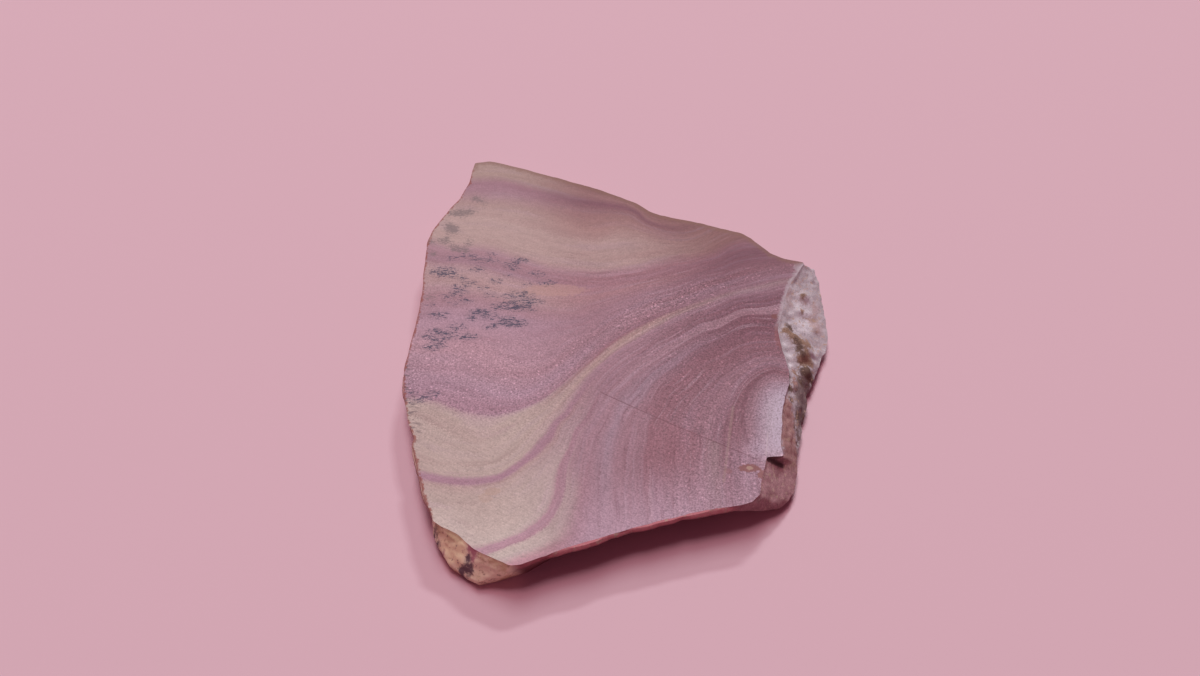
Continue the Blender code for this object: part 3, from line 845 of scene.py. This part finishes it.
# Small marks on the sawn face: x, y, half width, half height, colour, strength.
FACE_MARKS = (
    (21.0, -26.7, 2.0, 0.85, (136, 86, 84), 0.85), (23.0, -28.0, 0.9, 1.0, (140, 88, 84), 0.8),
    (21.0, -26.7, 0.6, 0.45, (174, 140, 128), 0.8), (17.5, -27.3, 0.7, 0.6, (140, 92, 96), 0.5),
    (-20.6, -31.0, 1.5, 0.8, (180, 142, 124), 0.28), (-21.6, -32.2, 1.3, 1.0, (180, 142, 124), 0.25),
    (28.3, 0.6, 0.8, 3.2, (142, 86, 88), 0.5), (28.0, 5.0, 0.7, 0.6, (128, 78, 76), 0.7),
    (34.0, 16.8, 1.8, 1.2, (180, 158, 168), 0.45), (-11.5, 11.2, 6.5, 1.6, (188, 144, 134), 0.4),
)
# Fine lines on it: where each starts and ends, half width, tint, strength.
FACE_LINES = (
    ((24.6, -19.7), (23.9, -24.2), 0.14, "bruise", 0.6),
    ((19.2, -14.3), (16.6, -29.5), 0.35, "sandy seam", 0.3),
)
for mark_x, mark_y, half_width, half_height, mark_colour, strength in FACE_MARKS:
    mark = blot((mark_x, mark_y), (half_width, half_height)).rise(0.0, 1.0)
    colour = colour.tint(linear(mark_colour), mark * sawn_here * strength)
for start, end, half_width, tint, strength in FACE_LINES:
    colour = tinted(colour, tint, streak(start, end, half_width) * sawn_here * strength)

# Chalk has soaked a little way into the face along the lower half of the crust.
soaked = inland.rise(5.5, -1.0) * y.rise(-7.5, -13.5) * y.rise(-25.5, -22.0) * x.rise(19.0, 22.0)
chalky = (soaked + grain * soaked * 4.0 + crumbs * soaked * 0.5) * sawn_here
colour = tinted(colour, "soaked chalk", stone.math("MULTIPLY", chalky, 0.7, clamp=True))

# Weather has browned the stone just inside its rind, most on the left, and the crust has crept over the edge.
on_left_rim = read("left rind") * sawn_here
on_far_rim = read("far rind") * sawn_here
frayed = inland + swing(place, 1.3, 3.0, 0.65) * 1.6
colour = tinted(colour, "left rim", frayed.rise(0.40, 0.05) * on_left_rim * 0.85)
colour = tinted(colour, "far rim", frayed.rise(1.3, 0.2) * on_far_rim * 0.6)
creeping = frayed.rise(0.9, 0.0) * on_crust * y.rise(1.0, 5.0) * sawn_here
colour = tinted(colour, "creeping crust", creeping * 0.75)

# Short dark dashes comb inward from the near part of the left rim.
comb = noise(vector(x * 0.7, y * 2.2), 1.0, 3.0, 0.65)
dashes = comb.rise(0.52, 0.60) * inland.rise(3.2, 0.6) * y.rise(-3.0, -8.0) * y.rise(-23.0, -18.0)
colour = tinted(colour, "dash", dashes * on_left_rim * 0.65)

# The broken edge: what each side is like, and how much of the bands it covers; then its stains over that.
EDGE_COLOURS = {
    "far rind": ((150, 112, 102), 0.7), "crust": ((184, 164, 172), 1.0), "fracture": ((164, 118, 124), 1.0),
    "front": ((184, 109, 117), 0.95), "chip": ((240, 212, 188), 1.0), "left rind": ((178, 122, 112), 0.6),
}
STAIN_COLOURS = {
    "white": (206, 188, 196), "blush": (186, 156, 160), "ash": (126, 102, 104), "brick": (162, 118, 118),
    "rust": (146, 112, 98), "umber": (104, 78, 72), "ochre": (244, 214, 180), "olive": (214, 182, 150),
    "madder": (186, 124, 134), "soot": (118, 94, 100),
}
# Painted shadow: the foot of the ledge, where no light gets in, is painted dark.
LEDGE = ((23.4, -24.8), (27.2, -24.7))
LEDGE_SHADOW_WIDTH = 0.5
cliff = swing(place, 1.9, 5.0, 0.75)
crags = swing(place, 1.3, 4.0, 0.7)
fibres = swing(place.stretched(3.0, 0.45, 0.6), 1.0, 4.0, 0.7)
edge_colour = colour
for name, (kind_colour, cover) in EDGE_COLOURS.items():
    edge_colour = edge_colour.tint(linear(kind_colour), read(name) * cover)
for name, stain_colour in STAIN_COLOURS.items():
    edge_colour = edge_colour.tint(linear(stain_colour), (read(name) + crags * 2.4).rise(0.12, 0.92))

# It is mottled, but less on the chip, and fibrous and cracked at the fracture and low on the crust.
fibrous = on_fracture + y.rise(-5.0, -9.0) * on_crust
mottling = cliff * (0.7 - read("chip") * 0.4) + grain * on_fracture * 0.7 + fibres * fibrous * 0.5
cracks = stone.math("ABSOLUTE", crags + fibres * fibrous * 0.6).rise(0.022, 0.0)
edge_colour = edge_colour.times(1.0 + mottling)
edge_colour = edge_colour.times(1.0 - cracks * (on_crust + on_fracture) * 0.5)
# Painted shadow at the foot of the ledge.
edge_colour = tinted(edge_colour, "painted ledge shadow", streak(*LEDGE, LEDGE_SHADOW_WIDTH) * 0.85)
# Painted shade: the front strip and its wall are darkened downwards, into the undercut where little light
# gets in.
painted_undercut_shade = z.rise(6.3, 5.7) * 0.25 + z.rise(5.7, 4.8) * 0.35
edge_colour = edge_colour.times(1.0 - painted_undercut_shade * read("front"))
colour = colour.tint(edge_colour, broken_here)

# The sawn faces are satin and the broken edge is dull.
SAWN_ROUGHNESS = 0.68
BROKEN_ROUGHNESS = 0.88
STONE_SHEEN = 0.15
roughness = broken_here * (BROKEN_ROUGHNESS - SAWN_ROUGHNESS) + SAWN_ROUGHNESS
rhyolite.node_tree.links.new(colour.socket, shader.inputs["Base Color"])
rhyolite.node_tree.links.new(roughness.socket, shader.inputs["Roughness"])
shader.inputs["Specular IOR Level"].default_value = STONE_SHEEN
slab_mesh.materials.append(rhyolite)
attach(slab, "root")
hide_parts("rhyolite_slab")


# ----------------------------------------------------------------------------------------------------------
# Table, light and camera
#
# The slab lies on plain pale pink card. Three level panels hang high above it as broad soft lights: one
# overhead, one like a window behind, and one farther back on the right.
# ----------------------------------------------------------------------------------------------------------
TABLE_WIDTH = 4.0
CARD_COLOUR = (212, 170, 182)
CARD_ROUGHNESS = 0.9
CARD_SHEEN = 0.1
bpy.ops.mesh.primitive_plane_add(size=TABLE_WIDTH)
table = bpy.context.object
table.name = "table"
card = bpy.data.materials.new("card")
card.use_nodes = True
card_shader = card.node_tree.nodes["Principled BSDF"]
card_shader.inputs["Base Color"].default_value = linear(CARD_COLOUR)
card_shader.inputs["Roughness"].default_value = CARD_ROUGHNESS
card_shader.inputs["Specular IOR Level"].default_value = CARD_SHEEN
table.data.materials.append(card)

WARM = (1.03, 0.74, 0.79)
COOL = (0.861, 1.123, 1.075)
# Each light: how far it stands to the right and to the back for each metre of height, its size in metres both
# ways, its share of the light on the table, and its colour.
LIGHTS = {
    "overhead panel": (-0.08, 0.16, 1.1, 1.0, 0.324, WARM),
    "window": (-0.08, 0.63, 1.1, 2.1, 0.375, COOL),
    "desk lamp": (0.30, 1.20, 0.9, 0.5, 0.213, COOL),
}
LIGHT_HEIGHT = 3.6

for name, (right_by, back_by, width, length, share, light_colour) in LIGHTS.items():
    panel = bpy.data.lights.new(name, "AREA")
    panel.shape = "RECTANGLE"
    panel.size = width
    panel.size_y = length
    panel.color = light_colour
    # A level panel lights the table by the fourth power of its slant, so a far one needs more for its share.
    panel.energy = share * (np.pi * LIGHT_HEIGHT) ** 2 * (1.0 + right_by**2 + back_by**2) ** 2
    lamp = bpy.data.objects.new(name, panel)
    lamp.location = np.array((right_by, back_by, 1.0)) * LIGHT_HEIGHT
    bpy.context.scene.collection.objects.link(lamp)

# Faint light from all round, pink from the card.
ROOM_COLOUR = (1.0, 0.375, 0.51, 1.0)
ROOM_STRENGTH = 0.16
room = bpy.data.worlds.new("room")
room.use_nodes = True
room.node_tree.nodes["Background"].inputs["Color"].default_value = ROOM_COLOUR
room.node_tree.nodes["Background"].inputs["Strength"].default_value = ROOM_STRENGTH
bpy.context.scene.world = room
bpy.context.scene.view_settings.view_transform = "Standard"

# Nothing nearer to the lens than this is seen, in metres.
LENS_NEAR = 0.005
lens = bpy.data.cameras.new("camera")
lens.lens = LENS
lens.sensor_width = SENSOR_WIDTH
lens.clip_start = LENS_NEAR
camera = bpy.data.objects.new("camera", lens)
camera.location = (AIM + CAMERA_DISTANCE * np.array((0.0, -np.cos(CAMERA_RISE), np.sin(CAMERA_RISE)))) * MM
camera.rotation_euler = (np.pi / 2.0 - CAMERA_RISE, 0.0, 0.0)
bpy.context.scene.collection.objects.link(camera)
bpy.context.scene.camera = camera
